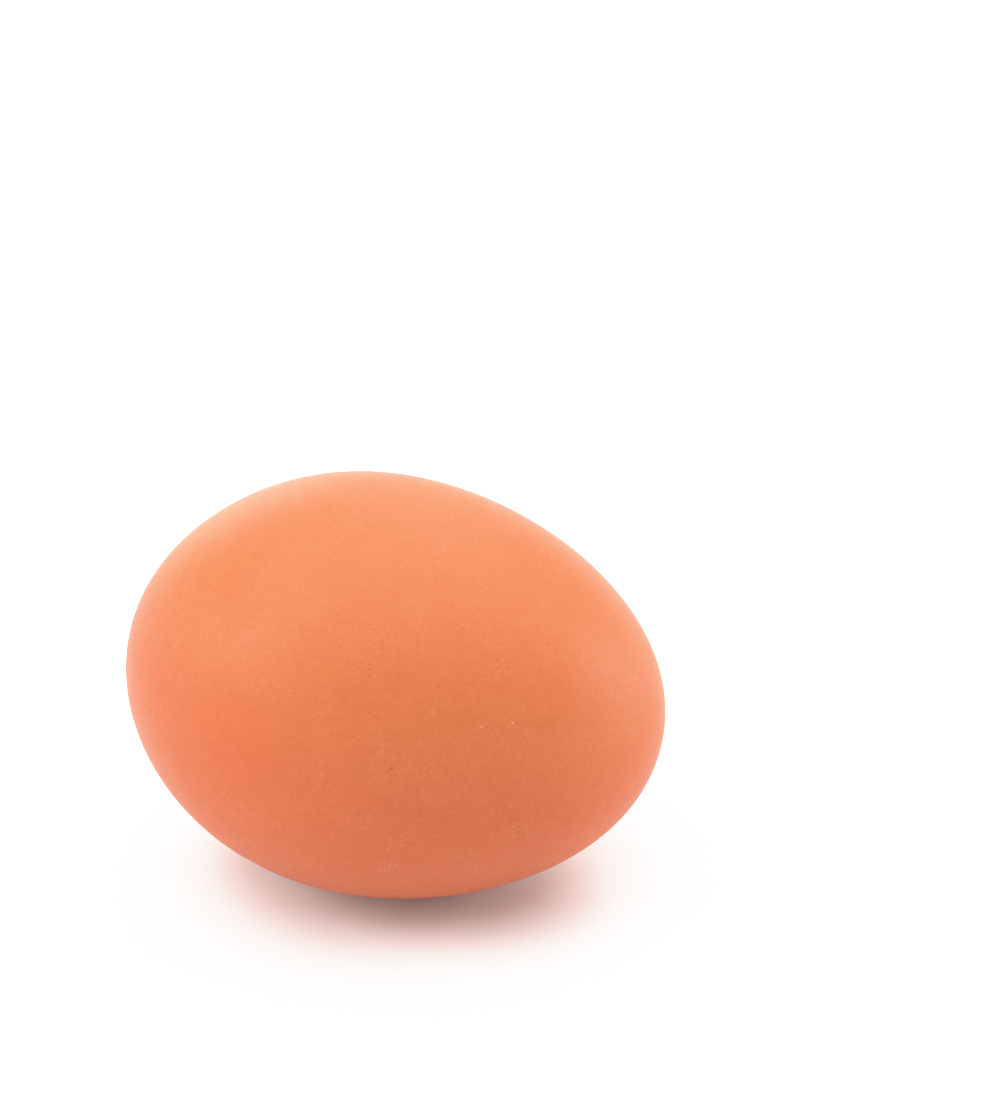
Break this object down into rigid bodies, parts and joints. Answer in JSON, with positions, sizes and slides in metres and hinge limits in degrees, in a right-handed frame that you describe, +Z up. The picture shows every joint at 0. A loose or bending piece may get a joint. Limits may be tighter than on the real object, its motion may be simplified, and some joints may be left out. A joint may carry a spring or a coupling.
{
  "type": "egg",
  "caption": "Whole brown hen's egg in its shell, lying on its side with the pointed end dipping a little, on a small flat spot that keeps it from rolling.",
  "frame": {"origin": "centre of the bottom face of the egg's box, on the surface that it lies on", "axes": "+Z up; the long axis lies in the XZ plane, with the pointed end towards +X and dipping 5.9 degrees, and the blunt end towards -X"},
  "size_m": [0.0564, 0.044, 0.044],
  "materials": {
    "eggshell": "satin"
  },
  "bodies": {
    "root": {"egg": "eggshell"}
  },
  "joints": []
}
